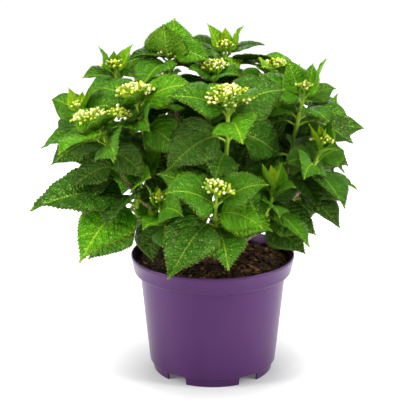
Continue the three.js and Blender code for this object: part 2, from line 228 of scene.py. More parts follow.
def leaf_finish(name, face, patch_and_painted_shade, under, rib, edge, aspect, gloss, glow):
    """Veins, netting, margin and pale underside, laid out on the leaf's own map, with painted shade
    in the grooves along the veins and the netting.
    """
    finish = Finish(name, Specular_IOR_Level=gloss, Specular_Tint=LEAF_SHEEN,
                    Subsurface_Weight=glow, Subsurface_Radius=(0.6, 1.0, 0.1),
                    Subsurface_Scale=0.0015)
    uv = finish.node("UVMap", {"uv_map": "OFBake"})
    split = finish.tree.nodes.new("ShaderNodeSeparateXYZ")
    finish.tree.links.new(uv.socket, split.inputs[0])
    sideways = Signal(finish, split.outputs["X"])
    lengthways = Signal(finish, split.outputs["Y"])
    below = sideways.maths("GREATER_THAN", sideways, 2 * UV_MIDDLE)
    across = (sideways - UV_MIDDLE - below * (2 * UV_MIDDLE)) / UV_HALF_WIDTH
    along = (lengthways - UV_FOOT) / UV_LENGTH
    along = along.maths("MAXIMUM", along, 0.001)
    along = along.maths("MINIMUM", along, 0.999)
    out = abs(across) * leaf_outline(along) * (aspect / 2)
    phase = (along - out * VEIN_SLANT - out * out * VEIN_CURVE) * VEINS
    off_vein = abs((phase + 0.5).fraction() - 0.5)
    thin = 1 - abs(across) * 0.75
    vein = off_vein.eased(0.075, 0.015) * thin
    midrib = out.eased(0.016, 0.006)
    ribs = vein.maths("MAXIMUM", vein * 0.5, midrib)
    spot = {0: out * MESH_SCALE, 1: along * MESH_SCALE, 2: across * 0.4}
    place = finish.node("CombineXYZ", {}, spot)
    netting = finish.cells(MESH_DENSITY, "DISTANCE_TO_EDGE", place)
    mesh = netting.eased(0.22, 0.0)
    mottle = finish.clouds(1.1, 3.0, place)
    colour = finish.mix(mottle.eased(0.36, 0.66), face, patch_and_painted_shade)
    # Painted shade: the grooves along the side veins and the lines of the fine netting are darkened
    # towards the patch tone, as if shade fell in them; the same masks also sink them in the bump.
    groove_and_painted_shade = off_vein.eased(0.3, 0.05)
    colour = finish.mix(groove_and_painted_shade * 0.9, colour, patch_and_painted_shade)
    colour = finish.mix(mesh * 0.5, colour, patch_and_painted_shade)
    colour = finish.mix(ribs * 0.9, colour, rib)
    margin = abs(across).eased(0.93, 1.0)
    colour = finish.mix(margin * 0.75, colour, edge)
    under_colour = finish.mix(mesh * 0.35, under, rib)
    under_colour = finish.mix(ribs * 0.95, under_colour, rib)
    colour = finish.mix(below, colour, under_colour)
    relief = mesh * -0.8 - groove_and_painted_shade * 0.5
    height = relief * (1 - below * 1.8)
    rough = 0.3 + below * 0.3 + mottle * 0.1
    bump = finish.bump(height, 1.0, LEAF_RELIEF)
    return finish.set(Base_Color=colour, Roughness=rough, Normal=bump)


# From the youngest leaves to the oldest: face, patch (the darker tone of the mottle, which also
# paints the shade in the leaf's grooves), underside, rib and edge.
LEAF_TONES = [
    ("lime", "b8e010", "92c404", "b8dc1c", "e8ee54", "e0d03c"),
    ("bright", "94d00c", "68a802", "94ca14", "d0e444", "d0bc34"),
    ("fresh", "6cb60a", "448a02", "74ae12", "b2d438", "b6b028"),
    ("mid", "4e9a06", "2c6e02", "58960e", "9ec832", "a2a028"),
    ("deep", "368204", "1a5401", "467e10", "8ab42e", "8c8e22"),
    ("shade", "266a04", "104201", "3a6e0e", "789c28", "747a20"),
]
LEAF_ASPECTS = [0.66, 0.72, 0.77, 0.8, 0.8, 0.8]  # width as a share of length
LEAF_SHEEN = (0.8, 1.0, 0.25, 1.0)  # the tint of a leaf's shine
LEAF_GLOW = [0.5, 0.4, 0.25, 0.0, 0.0, 0.0]  # light that comes through young leaves
LEAF_GLOSS = [0.45, 0.5, 0.65, 0.8, 0.85, 0.85]


def leaf_finishes():
    made = []
    for tone, aspect, gloss, glow in zip(LEAF_TONES, LEAF_ASPECTS, LEAF_GLOSS, LEAF_GLOW):
        colours = [paint(code) for code in tone[1:]]
        made.append(leaf_finish(tone[0] + "_leaf", *colours, aspect, gloss, glow))
    return made


def stem_finish(name, light, dark, speckle):
    """Young stem: smooth green skin with small raised pale pores."""
    finish = Finish(name, Specular_IOR_Level=0.3)
    tint = finish.clouds(60.0, 2.0)
    pores = finish.cells(900.0).eased(0.3, 0.18)
    colour = finish.mix(tint.eased(0.4, 0.62), paint(light), paint(dark))
    colour = finish.mix(pores * 0.4, colour, paint(speckle))
    return finish.set(Base_Color=colour, Roughness=0.45 + tint * 0.1,
                      Normal=finish.bump(pores, 0.3, 0.0003))


def bark_finish(name, light, dark, streak):
    """Bark that cracks lengthways over a darker brown."""
    finish = Finish(name, Specular_IOR_Level=0.3)
    fibres = finish.stretched((1.0, 1.0, 0.16))
    crack = finish.cells(420.0, "DISTANCE_TO_EDGE", fibres).eased(0.14, 0.02)
    grain = finish.clouds(700.0, 4.0, fibres)
    patches = finish.clouds(75.0, 3.0)
    colour = finish.mix(patches.eased(0.4, 0.6), paint(light), paint(dark))
    colour = finish.mix(grain.eased(0.35, 0.7), colour, paint(streak))
    colour = finish.mix(crack * 0.85, colour, paint("4a2c1c"))
    height = grain * 0.5 - crack
    return finish.set(Base_Color=colour, Roughness=0.75 + grain * 0.2,
                      Normal=finish.bump(height, 0.7, 0.0006))


def pot_finish():
    """Satin moulded polypropylene with a faint orange peel and rubbed edges."""
    finish = Finish("violet_pot_plastic", Specular_IOR_Level=0.28, Specular_Tint=(0.8, 0.6, 0.9, 1.0))
    peel = finish.clouds(900.0, 2.0)
    flow = finish.clouds(9.0, 3.0, finish.stretched((1.0, 1.0, 0.35)))
    scuff = finish.clouds(45.0, 6.0, roughness=0.7).eased(0.62, 0.8)
    colour = finish.mix(flow.eased(0.35, 0.65), paint("42204f"), paint("472555"))
    colour = finish.mix(scuff * 0.12, colour, paint("8d6b9b"))
    rough = 0.27 + flow * 0.06 + scuff * 0.1
    return finish.set(Base_Color=colour, Roughness=rough, Normal=finish.bump(peel, 0.1, 0.0002))


def compost_finish():
    finish = Finish("damp_compost")
    lump = finish.clouds(160.0, 5.0, roughness=0.65)
    fleck = finish.cells(380.0, output="Color")
    tone = finish.node("SeparateColor", {}, {0: fleck})
    colour = finish.mix(lump.eased(0.35, 0.7), paint("1d120b"), paint("4a3120"))
    colour = finish.mix(tone.eased(0.86, 0.95), colour, paint("8a5a30"))
    return finish.set(Base_Color=colour, Roughness=0.95, Normal=finish.bump(lump, 0.8, 0.002))


def chip_finish(name, light, dark):
    finish = Finish(name)
    grain = finish.clouds(300.0, 4.0, finish.stretched((1.0, 0.3, 1.0)))
    colour = finish.mix(grain.eased(0.35, 0.68), paint(dark), paint(light))
    return finish.set(Base_Color=colour, Roughness=0.9, Normal=finish.bump(grain, 0.6, 0.0006))


def bud_finish(name, pale, strong):
    """Waxy closed buds, paler where they catch the light and greener in the hollows."""
    finish = Finish(name, Subsurface_Weight=0.12, Subsurface_Scale=0.001)
    tint = finish.clouds(260.0, 2.0)
    colour = finish.mix(tint.eased(0.38, 0.64), paint(pale), paint(strong))
    return finish.set(Base_Color=colour, Roughness=0.5 + tint * 0.1,
                      Normal=finish.bump(tint, 0.1, 0.0003))


def grey(level):
    return (level, level, level, 1.0)


def floor_finish():
    """A pale floor that glows softly to look white, with a painted contact shadow: it glows less
    round the pot, as if it lay in shade there.
    """
    finish = Finish("pale_floor", Specular_IOR_Level=0.1, Emission_Strength=1.0)
    grain = finish.clouds(2.0, 2.0)
    colour = finish.mix(grain, paint("d9d9d9"), paint("dbdbdb"))
    # Painted shadow: the dim ring is centred a little behind the pot's middle, so that it reaches
    # further out in front.
    place = finish.node("Mapping", {}, {"Vector": finish.place(), "Location": (0, 0.03, 0)})
    distance = finish.node("VectorMath", {"operation": "LENGTH"}, {0: place}, "Value")
    # Painted contact shadow: the glow is faint close to the pot and rises further out; further still
    # it rises again, so the far floor stays white.
    glow = finish.mix(distance.eased(0.06, 0.2), grey(0.1), grey(0.62))
    glow = finish.mix(distance.eased(0.3, 2.0), glow, grey(0.9))
    return finish.set(Base_Color=colour, Roughness=0.8, Emission_Color=glow)


# ---- Mesh helpers -----------------------------------------------------------------------


def deselect():
    for thing in bpy.context.selected_objects:
        thing.select_set(False)


def unit(vector):
    vector = np.asarray(vector, float)
    return vector / np.maximum(np.linalg.norm(vector, axis=-1, keepdims=True), 1e-12)


class Heap:
    """Many small closed shapes, gathered from arrays and joined into one piece."""

    def __init__(self):
        self.points = []
        self.triangles = []
        self.maps = []
        self.count = 0

    def add(self, points, triangles, corners=None):
        self.points.append(points)
        self.triangles.append(triangles + self.count)
        if corners is not None:
            self.maps.append(corners)
        self.count += len(points)

    def piece(self, name, material, slot, *nodes):
        mesh = bpy.data.meshes.new(name)
        mesh.from_pydata(np.concatenate(self.points), [], np.concatenate(self.triangles))
        mesh.polygons.foreach_set("use_smooth", [True] * len(mesh.polygons))
        if self.maps:
            layer = mesh.uv_layers.new(name="OFBake")
            layer.uv.foreach_set("vector", np.concatenate(self.maps).astype(np.float32).ravel())
        thing = bpy.data.objects.new(name, mesh)
        bpy.context.scene.collection.objects.link(thing)
        return settle(thing, material, slot, *nodes)


def settle(thing, material, slot, *nodes):
    """Gives a finished piece its material and body, and hides the nodes that it stands for. Its slot
    is not used.
    """
    thing.data.materials.clear()
    thing.data.materials.append(material)
    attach(thing, "root")
    if nodes:
        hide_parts(*nodes)
    return thing


def sweep(path, radii, sides):
    """A closed tube along a line of points."""
    path = np.asarray(path, float)
    radii = np.broadcast_to(np.asarray(radii, float), (len(path),))
    along = unit(np.gradient(path, axis=0))
    start = np.cross(along[0], [0.3, 0.5, 0.81])
    normals = []
    for direction in along:
        start = unit(start - direction * (start @ direction))
        normals.append(start)
    normals = np.array(normals)
    binormals = np.cross(along, normals)
    turn = np.linspace(0, 2 * math.pi, sides, endpoint=False)
    ring = (np.cos(turn)[None, :, None] * normals[:, None, :]
            + np.sin(turn)[None, :, None] * binormals[:, None, :])
    points = path[:, None, :] + ring * radii[:, None, None]
    points = np.concatenate([points.reshape(-1, 3), path[:1], path[-1:]])
    return points, tube_triangles(len(path), sides)


def tube_triangles(rings, sides):
    ring, side = np.meshgrid(np.arange(rings - 1), np.arange(sides), indexing="ij")
    after = (side + 1) % sides
    a = (ring * sides + side).ravel()
    b = (ring * sides + after).ravel()
    c = b + sides
    d = a + sides
    walls = np.concatenate([np.stack([a, b, c], 1), np.stack([a, c, d], 1)])
    each = np.arange(sides)
    following = (each + 1) % sides
    foot = np.full(sides, rings * sides)
    top = np.full(sides, rings * sides + 1)
    last = (rings - 1) * sides
    caps = [np.stack([foot, following, each], 1), np.stack([top, last + each, last + following], 1)]
    return np.concatenate([walls, *caps])


def bezier(points, steps):
    """Points along a cubic curve, evenly spaced."""
    t = np.linspace(0, 1, 40)[:, None]
    p0, p1, p2, p3 = (np.asarray(p, float) for p in points)
    line = ((1 - t) ** 3 * p0 + 3 * (1 - t) ** 2 * t * p1
            + 3 * (1 - t) * t**2 * p2 + t**3 * p3)
    return evenly(line, steps)


def distances(line):
    """How far along the line each of its points lies."""
    return np.concatenate([[0], np.cumsum(np.linalg.norm(np.diff(line, axis=0), axis=1))])


def evenly(line, steps):
    """The same line with its points evenly spaced."""
    lengths = distances(line)
    wanted = np.linspace(0, lengths[-1], steps)
    return np.stack([np.interp(wanted, lengths, line[:, i]) for i in range(3)], 1)


def length_of(line):
    return np.linalg.norm(np.diff(line, axis=0), axis=1).sum()


# ---- Camera and light -------------------------------------------------------------------

LENS = 97.8
SENSOR = 36.0
CAMERA_PLACE = (0.0, -1.5132, 0.6575)
CAMERA_DOWN = math.radians(15.7)
CAMERA_ASIDE = math.radians(0.25)


def set_camera():
    data = bpy.data.cameras.new("camera")
    data.lens = LENS
    data.sensor_width = SENSOR
    camera = bpy.data.objects.new("camera", data)
    camera.location = CAMERA_PLACE
    camera.rotation_euler = (math.pi / 2 - CAMERA_DOWN, 0.0, CAMERA_ASIDE)
    bpy.context.scene.collection.objects.link(camera)
    bpy.context.scene.camera = camera


def soft_light(name, place, target, size, power):
    data = bpy.data.lights.new(name, "AREA")
    data.shape = "RECTANGLE"
    data.size, data.size_y = size
    data.energy = power
    light = bpy.data.objects.new(name, data)
    light.location = place
    light.rotation_euler = (Vector(target) - Vector(place)).to_track_quat("-Z", "Y").to_euler()
    bpy.context.scene.collection.objects.link(light)


def set_light():
    world = bpy.data.worlds.new("soft_white")
    world.use_nodes = True
    world.node_tree.nodes["Background"].inputs["Color"].default_value = (1.0, 1.0, 1.0, 1.0)
    world.node_tree.nodes["Background"].inputs["Strength"].default_value = 0.14
    bpy.context.scene.world = world
    middle = (0.0, 0.0, 0.25)
    soft_light("left_softbox", (-1.6, -0.55, 0.9), middle, (0.5, 1.6), 36)
    soft_light("right_softbox", (1.6, -0.55, 0.9), middle, (0.5, 1.6), 34)
    soft_light("back_softbox", (0.0, 1.8, 1.1), middle, (1.2, 1.2), 12)
    soft_light("overhead", (0.0, -0.3, 2.2), middle, (1.4, 1.4), 50)
    bpy.context.scene.view_settings.view_transform = "Standard"


FLOOR_WIDTH = 30.0


def build_floor():
    deselect()
    bpy.ops.mesh.primitive_plane_add(size=FLOOR_WIDTH)
    floor = bpy.context.object
    floor.name = "pale_floor"
    floor.data.materials.append(floor_finish())


# ---- Pot --------------------------------------------------------------------------------

POT_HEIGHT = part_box("pot")[1].z
RIM_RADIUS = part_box("pot")[1].x
COLLAR_FOOT = POT_HEIGHT - COLLAR_HEIGHT
POT_FLOOR = FOOT_HEIGHT + POT_WALL


def turned(profile, sides):
    """A round shape: a disc travels along the profile and leaves the wall behind it."""
    deselect()
    radius, height = profile[0]
    bpy.ops.mesh.primitive_circle_add(vertices=sides, radius=radius, fill_type="NGON",
                                      location=(0, 0, height))
    thing = bpy.context.object
    bpy.ops.object.transform_apply(location=True, rotation=False, scale=False)
    bpy.ops.object.mode_set(mode="EDIT")
    for next_radius, next_height in profile[1:]:
        bpy.ops.mesh.extrude_region_move(
            TRANSFORM_OT_translate={"value": (0, 0, next_height - height)})
        share = next_radius / radius
        bpy.ops.transform.resize(value=(share, share, 1), center_override=(0, 0, next_height))
        radius, height = next_radius, next_height
    bpy.ops.mesh.select_all(action="DESELECT")
    bpy.ops.mesh.select_mode(type="EDGE")
    bpy.ops.mesh.select_non_manifold()
    bpy.ops.mesh.edge_face_add()
    bpy.ops.mesh.select_all(action="SELECT")
    bpy.ops.mesh.normals_make_consistent(inside=False)
    bpy.ops.object.mode_set(mode="OBJECT")
    return thing


def modify(thing, kind, **settings):
    """Adds a modifier and applies it."""
    deselect()
    thing.select_set(True)
    bpy.context.view_layer.objects.active = thing
    bpy.ops.object.modifier_add(type=kind)
    modifier = thing.modifiers[-1]
    for key, value in settings.items():
        setattr(modifier, key, value)
    bpy.ops.object.modifier_apply(modifier=modifier.name)


def round_in(points, centre, radius, first, last, steps=6):
    """Adds a rounding to a profile, as an arc between two angles in degrees."""
    for i in range(steps + 1):
        angle = math.radians(first + (last - first) * i / steps)
        points.append((centre[0] + radius * math.cos(angle), centre[1] + radius * math.sin(angle)))


def collar_inner(height):
    share = (height - COLLAR_FOOT) / COLLAR_HEIGHT
    return COLLAR_FOOT_RADIUS + (RIM_RADIUS - COLLAR_FOOT_RADIUS) * share - POT_WALL


def pot_profile():
    lip = POT_WALL / 2
    points = [
        (FOOT_TOP_RADIUS - FOOT_THICKNESS, FOOT_HEIGHT),
        (FOOT_RADIUS - FOOT_THICKNESS, 0.0),
        (FOOT_RADIUS, 0.0),
        (FOOT_TOP_RADIUS, FOOT_HEIGHT),
        (WALL_FOOT_RADIUS - WALL_CHAMFER, FOOT_HEIGHT),
        (WALL_FOOT_RADIUS, FOOT_HEIGHT + WALL_CHAMFER),
    ]
    foot = FOOT_HEIGHT + WALL_CHAMFER
    for i in range(1, WALL_ROWS + 1):
        share = i / WALL_ROWS
        radius = WALL_FOOT_RADIUS + (SHOULDER_RADIUS - WALL_FOOT_RADIUS) * share
        points.append((radius, foot + (COLLAR_FOOT - foot) * share))
    centre = (COLLAR_FOOT_RADIUS - COLLAR_ROUNDING, COLLAR_FOOT + COLLAR_ROUNDING)
    round_in(points, centre, COLLAR_ROUNDING, -90, 0)
    points.append((RIM_RADIUS - 0.0004, POT_HEIGHT - 0.0045))
    points.append((RIM_RADIUS, POT_HEIGHT - 0.004))
    round_in(points, (RIM_RADIUS - lip, POT_HEIGHT - lip), lip, 0, 180)
    points.append((collar_inner(COLLAR_FOOT + POT_WALL), COLLAR_FOOT + POT_WALL))
    points.append((SHOULDER_RADIUS - POT_WALL, COLLAR_FOOT + POT_WALL))
    points.append((WALL_FOOT_RADIUS - POT_WALL, POT_FLOOR))
    return points


def cutter(primitive, size, place, turn):
    """A block or bar that is cut out of the pot, turned about the pot's middle."""
    deselect()
    primitive()
    thing = bpy.context.object
    turned_place = Matrix.Rotation(turn, 4, "Z") @ Matrix.Translation(place)
    thing.matrix_world = turned_place @ Matrix.Diagonal((*size, 1))
    bpy.ops.object.transform_apply(location=True, rotation=True, scale=True)
    return thing


def build_pot(material):
    pot = turned(pot_profile(), POT_SIDES)
    pot.name = "nursery_pot"
    for i in range(FEET):
        turn = math.radians(-90 + 360 / FEET * (i + 0.5))
        notch_place = (FOOT_RADIUS - FOOT_THICKNESS / 2, 0, 0)
        notch = cutter(bpy.ops.mesh.primitive_cube_add,
                       (2 * FOOT_THICKNESS, NOTCH_WIDTH / 2, NOTCH_HEIGHT), notch_place, turn)
        modify(notch, "BEVEL", width=NOTCH_ROUNDING, segments=3)
        hole = cutter(lambda: bpy.ops.mesh.primitive_cylinder_add(vertices=24),
                      (DRAIN_HOLE_RADIUS, DRAIN_HOLE_RADIUS, 2 * POT_WALL),
                      (DRAIN_CIRCLE_RADIUS, 0, POT_FLOOR), turn)
        for tool in (notch, hole):
            modify(pot, "BOOLEAN", operation="DIFFERENCE", object=tool, solver="EXACT")
            bpy.data.objects.remove(tool)
    deselect()
    pot.select_set(True)
    bpy.context.view_layer.objects.active = pot
    bpy.ops.object.shade_smooth_by_angle(angle=math.radians(35))
    settle(pot, material, "pot", "pot")


# ---- Compost ----------------------------------------------------------------------------

SOIL_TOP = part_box("compost")[1].z
SOIL_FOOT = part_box("compost")[0].z
SOIL_EDGE = 0.1105
SOIL_EDGE_HEIGHT = 0.154
SOIL_RING = 0.0026
SOIL_GAP = 0.0003  # between the compost and the pot
SOIL_LIP = 0.002  # how far the compost is rounded down at its edge
SOIL_SIDES = 150
CHIPS = 1500
FIBRES = 260


def build_compost(material):
    shelf = COLLAR_FOOT + POT_WALL + SOIL_GAP
    profile = [
        (WALL_FOOT_RADIUS - POT_WALL - SOIL_GAP, SOIL_FOOT),
        (SHOULDER_RADIUS - POT_WALL - SOIL_GAP, shelf),
        (collar_inner(shelf) - SOIL_GAP, shelf),
        (SOIL_EDGE, SOIL_EDGE_HEIGHT - SOIL_LIP),
    ]
    radius = SOIL_EDGE
    while radius > 2 * SOIL_RING:
        rise = (SOIL_TOP - SOIL_EDGE_HEIGHT) * (1 - radius / SOIL_EDGE)
        profile.append((radius, SOIL_EDGE_HEIGHT - SOIL_LIP + rise))
        radius -= SOIL_RING
    soil = turned(profile, SOIL_SIDES)
    soil.name = "compost_surface"
    for vertex in soil.data.vertices:
        out = math.hypot(vertex.co.x, vertex.co.y)
        if vertex.co.z < SOIL_EDGE_HEIGHT - 0.003 or out > SOIL_EDGE - 0.001:
            continue
        coarse = noise.noise(vertex.co * 55)
        fine = noise.noise(vertex.co * 190)
        vertex.co.z += 0.0022 * coarse + 0.0016 * fine
    for face in soil.data.polygons:
        face.use_smooth = True
    settle(soil, material, "compost", "compost")


CHIP_FACES = np.array([[0, 2, 1], [0, 3, 2], [4, 5, 6], [4, 6, 7], [0, 1, 5], [0, 5, 4],
                       [1, 2, 6], [1, 6, 5], [2, 3, 7], [2, 7, 6], [3, 0, 4], [3, 4, 7]])
CHIP_CORNERS = np.array([[x, y, z] for z in (-1, 1)
                         for x, y in ((-1, -1), (1, -1), (1, 1), (-1, 1))], float)


def chip(rng, size, place):
    """A broken flake of bark: an uneven block, lying any way round."""
    corners = CHIP_CORNERS * (0.6 + 0.5 * rng.random((8, 3))) * size / 2
    tilt = rng.normal(0, 0.35, 2)
    turn = rng.random() * 2 * math.pi
    spin = Matrix.Rotation(turn, 3, "Z") @ Matrix.Rotation(tilt[0], 3, "X")
    spin = spin @ Matrix.Rotation(tilt[1], 3, "Y")
    return corners @ np.array(spin).T + place, CHIP_FACES


def build_chips(finishes):
    """Flakes of bark and fine fibres, strewn over the compost."""
    rng = np.random.default_rng(SEED)
    heaps = [Heap() for _ in finishes]
    for i in range(CHIPS):
        out = (SOIL_EDGE - 0.005) * math.sqrt(rng.random())
        turn = rng.random() * 2 * math.pi
        height = SOIL_EDGE_HEIGHT + (SOIL_TOP - SOIL_EDGE_HEIGHT) * (1 - out / SOIL_EDGE)
        place = (out * math.cos(turn), out * math.sin(turn), height + rng.uniform(-0.002, 0.0015))
        long = rng.uniform(0.003, 0.009) if i % 6 else rng.uniform(0.008, 0.015)
        size = np.array([long, long * rng.uniform(0.3, 0.7), long * rng.uniform(0.15, 0.4)])
        heaps[i % len(heaps)].add(*chip(rng, size, place))
    for i in range(FIBRES):
        out = (SOIL_EDGE - 0.008) * math.sqrt(rng.random())
        turn = rng.random() * 2 * math.pi
        start = np.array([out * math.cos(turn), out * math.sin(turn), SOIL_EDGE_HEIGHT + 0.0022])
        way = unit(rng.normal(0, 1, 3) * [1, 1, 0.15])
        bend = unit(rng.normal(0, 1, 3) * [1, 1, 0.3])
        steps = np.linspace(0, 1, 6)[:, None]
        line = start + way * steps * rng.uniform(0.006, 0.016) + bend * 0.003 * np.sin(3 * steps)
        line[:, 2] = np.clip(line[:, 2], SOIL_EDGE_HEIGHT - 0.001, SOIL_TOP + 0.004)
        reach = np.hypot(line[:, 0], line[:, 1]).max()
        if reach < SOIL_EDGE - 0.003:
            heaps[i % len(heaps)].add(*sweep(line, 0.00035, 4))
    for heap, (name, material) in zip(heaps, finishes.items()):
        thing = heap.piece(name, material, "compost")
        for face in thing.data.polygons:
            face.use_smooth = False


# ---- Limbs ------------------------------------------------------------------------------

PLANT_FOOT = np.array([0.0, 0.0, SOIL_TOP])
CANE_SIDES = 18
CANE_RIDGES = 0.0007
BOUGH_SIDES = 12
BOUGH_RIDGES = 0.00018
RING_SPACING = 0.0016
SCAR_SPACING = 0.04
LIMB_POINTS = 60


def node_points(name):
    return np.array([vertex.co for vertex in NODES[name].data.vertices], float)


def limb_line(name):
    """The centre line of a limb, from its parent's side outwards, and its two end radii."""
    points = node_points(name)
    middle = points.mean(0)
    chord = np.linalg.svd(points - middle, full_matrices=False)[2][0]
    along = (points - middle) @ chord
    far = points[along.argmax()] - PLANT_FOOT
    near = points[along.argmin()] - PLANT_FOOT
    if np.linalg.norm(far) < np.linalg.norm(near):
        along = -along
    share = (along - along.min()) / (along.max() - along.min())
    curves = [np.polyfit(share, points[:, i], 3) for i in range(3)]
    away = points - np.stack([np.polyval(c, share) for c in curves], 1)
    slope, foot = np.polyfit(share, np.linalg.norm(away, axis=1), 1)
    steps = np.linspace(0, 1, LIMB_POINTS)
    line = np.stack([np.polyval(c, steps) for c in curves], 1)
    return evenly(line, LIMB_POINTS), (foot, foot + slope)


def bark_tube(line, radii, sides, depth, swellings):
    """A tube with ridges that run lengthways, and a slight swelling at every leaf scar."""
    steps = int(length_of(line) / RING_SPACING)
    line = evenly(line, max(steps, 12))
    share = np.linspace(0, 1, len(line))
    radius = radii[0] + (radii[1] - radii[0]) * share
    radius *= 1 + 0.12 * np.exp(-((share[:, None] - swellings[None, :]) / 0.03) ** 2).sum(1)
    points, triangles = sweep(line, radius, sides)
    rings = points[:-2].reshape(len(line), sides, 3)
    outwards = unit(rings - line[:, None, :])
    turn = np.linspace(0, 2 * math.pi, sides, endpoint=False)
    for i, distance in enumerate(share * length_of(line)):
        for j, angle in enumerate(turn):
            spot = Vector((2.4 * math.cos(angle), 2.4 * math.sin(angle), distance * 70))
            spot += Vector(line[0]) * 100
            ridge = 1 - 2 * abs(noise.noise(spot))
            rings[i, j] += outwards[i, j] * depth * (ridge - 0.6)
    return points, triangles


def build_wood(bark, green_bark, lines):
    rng = np.random.default_rng(SEED + 1)
    woody = Heap()
    green = Heap()
    for name, (line, radii) in lines.items():
        gap = SCAR_SPACING / max(length_of(line), SCAR_SPACING)
        swellings = np.arange(0.12, 1, gap) + rng.uniform(0, 0.05)
        back = line[0] - unit(line[1] - line[0]) * 0.006
        if name.startswith("cane"):
            back = line[0] * 0.55 + PLANT_FOOT * 0.45
        line = np.concatenate([[back], line])
        if name.startswith("cane"):
            woody.add(*bark_tube(line, radii, CANE_SIDES, CANE_RIDGES, swellings))
        else:
            green.add(*bark_tube(line, radii, BOUGH_SIDES, BOUGH_RIDGES, swellings))
    canes = [name for name in lines if name.startswith("cane")]
    boughs = [name for name in lines if name.startswith("bough")]
    woody.piece("woody_canes", bark, "bark", *canes)
    green.piece("side_boughs", green_bark, "green_bark", *boughs)


CROWN_SIDES = 72
CROWN_DEPTH = 0.003  # how far it goes down into the compost
CROWN_PROFILE = [(0.15, 0.97), (0.3, 0.9), (0.45, 0.84), (0.6, 0.76), (0.75, 0.64),
                 (0.88, 0.48), (0.96, 0.32), (1.0, 0.16)]  # heights and radii, as shares
CROWN_KNOBS = 0.0025
CROWN_RIDGES = 0.0008


def build_root_crown(bark):
    low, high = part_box("root_crown")
    radius = (high.x - low.x) / 2
    height = high.z - low.z
    profile = [(radius * 0.9, low.z - CROWN_DEPTH), (radius, low.z)]
    for share, width in CROWN_PROFILE:
        profile.append((radius * width, low.z + height * share))
    crown = turned(profile, CROWN_SIDES)
    crown.name = "woody_root_crown"
    modify(crown, "SUBSURF", levels=1, render_levels=1)
    for vertex in crown.data.vertices:
        outwards = Vector((vertex.co.x, vertex.co.y, 0.3 * (vertex.co.z - low.z))).normalized()
        knob = noise.noise(vertex.co * 110)
        ridge = 1 - 2 * abs(noise.noise(Vector((vertex.co.x, vertex.co.y, vertex.co.z * 0.3)) * 420))
        vertex.co += outwards * (CROWN_KNOBS * knob + CROWN_RIDGES * ridge)
    for face in crown.data.polygons:
        face.use_smooth = True
    settle(crown, bark, "bark", "root_crown")


# ---- Shoots -----------------------------------------------------------------------------

# reach is how far a shoot's longest leaves stretch, turn is the bearing that its pairs are
# turned from, and size makes all of its leaves larger or smaller. head is the radius of
# its flower head, and head_at says how far up between the middle of the foliage and its
# topmost leaf tip the head sits. trims shortens or lengthens a leaf, by its pair and side,
# and 0 leaves it out; the young pairs are numbered on from the others. crown is the bearing
# that the young pairs are turned from, and crest says how much larger their leaves are.
SHOOTS = {
    "front_tall": dict(reach=0.104, turn=20, head=0.031, head_at=0.97,
                       trims={(4, 0): 0, (4, 180): 0}),
    "front_low": dict(reach=0.118, turn=-128, head=0.02, head_at=0.95,
                      trims={(5, 0): 0.55, (2, 0): 0.82, (4, 0): 0.75, (3, 180): 0.85}),
    "front_left_small": dict(reach=0.066, turn=-75, head=0.009, head_at=0.85,
                             trims={(5, 180): 0, (6, 180): 1.5}),
    "left_front": dict(reach=0.09, turn=150, head=0.027, head_at=0.92),
    "front_left_high": dict(reach=0.086, turn=-30, head=0.025, head_at=0.92,
                            trims={(0, 180): 0, (1, 180): 0}),
    "left_side": dict(reach=0.12, turn=95, head=0.0, head_at=0.8,
                      trims={(5, 0): 1.0, (3, 0): 0, (4, 180): 0, (2, 0): 0, (3, 180): 0}),
    "left_foot": dict(reach=0.092, turn=-115, head=0.0, head_at=0.8, size=0.92,
                      trims={(0, 0): 0, (0, 180): 0, (6, 180): 0, (5, 180): 0.7, (4, 0): 0.8}),
    "left_high": dict(reach=0.074, turn=10, head=0.015, head_at=0.9, size=1.15, crown=90,
                      trims={(8, 180): 0}),
    "left_tip": dict(reach=0.076, turn=160, head=0.011, head_at=0.8, size=1.1, crown=60,
                     trims={(8, 180): 0}),
    "top": dict(reach=0.074, turn=60, head=0.013, head_at=0.15, size=1.25, crown=0, crest=1.38,
                trims={(4, 0): 0.65, (4, 180): 0.75, (5, 0): 0.7, (5, 180): 0.75,
                       (6, 0): 0, (6, 180): 0, (8, 0): 0, (8, 180): 0}),
    "middle": dict(reach=0.07, turn=-60, head=0.022, head_at=0.92, size=1.15),
    "top_back": dict(reach=0.08, turn=20, head=0.016, head_at=0.72, size=1.2, crown=90,
                     trims={(8, 180): 0}),
    "right_high": dict(reach=0.088, turn=-45, head=0.018, head_at=0.9, size=1.1),
    "right_back": dict(reach=0.086, turn=-80, head=0.0, head_at=0.8, trims={(5, 0): 1.1}),
    "right_foot": dict(reach=0.084, turn=40, head=0.0, head_at=0.8),
    "right_low": dict(reach=0.078, turn=-58, head=0.014, head_at=0.9),
    "right_mid": dict(reach=0.084, turn=20, head=0.013, head_at=0.85, size=1.1, crown=60, crest=1.25,
                      trims={(6, 180): 0.8, (8, 180): 0}),
    "front_right_foot": dict(reach=0.08, turn=-38, head=0.0, head_at=0.8),
}
BACK_REACH = {"back_high": 0.088, "back_low": 0.104}
BACK_TURN_STEP = 35


def shoot_facts(name, tip):
    """What is known of a shoot. Those at the back follow a rule."""
    if name in SHOOTS:
        return SHOOTS[name]
    tier = name.rsplit("_", 1)[0]
    place = int(name.rsplit("_", 1)[1]) - 1
    bearing = math.degrees(math.atan2(tip[1], tip[0]))
    head = BACK_HEADS[(place + len(tier)) % len(BACK_HEADS)]
    return dict(reach=BACK_REACH[tier], turn=bearing + BACK_TURN_STEP * (place % 3), head=head,
                head_at=0.88)


def bearing_way(bearing, rise=0.0):
    bearing, rise = math.radians(bearing), math.radians(rise)
    return np.array([math.cos(bearing) * math.cos(rise), math.sin(bearing) * math.cos(rise),
                     math.sin(rise)])


STEM_BEND = 0.35  # how far a young stem runs straight at either end, as a share of its span
STEM_POINTS = 60
BACK_HEADS = (0.022, 0.0, 0.016)  # the heads of the shoots at the back, in turn


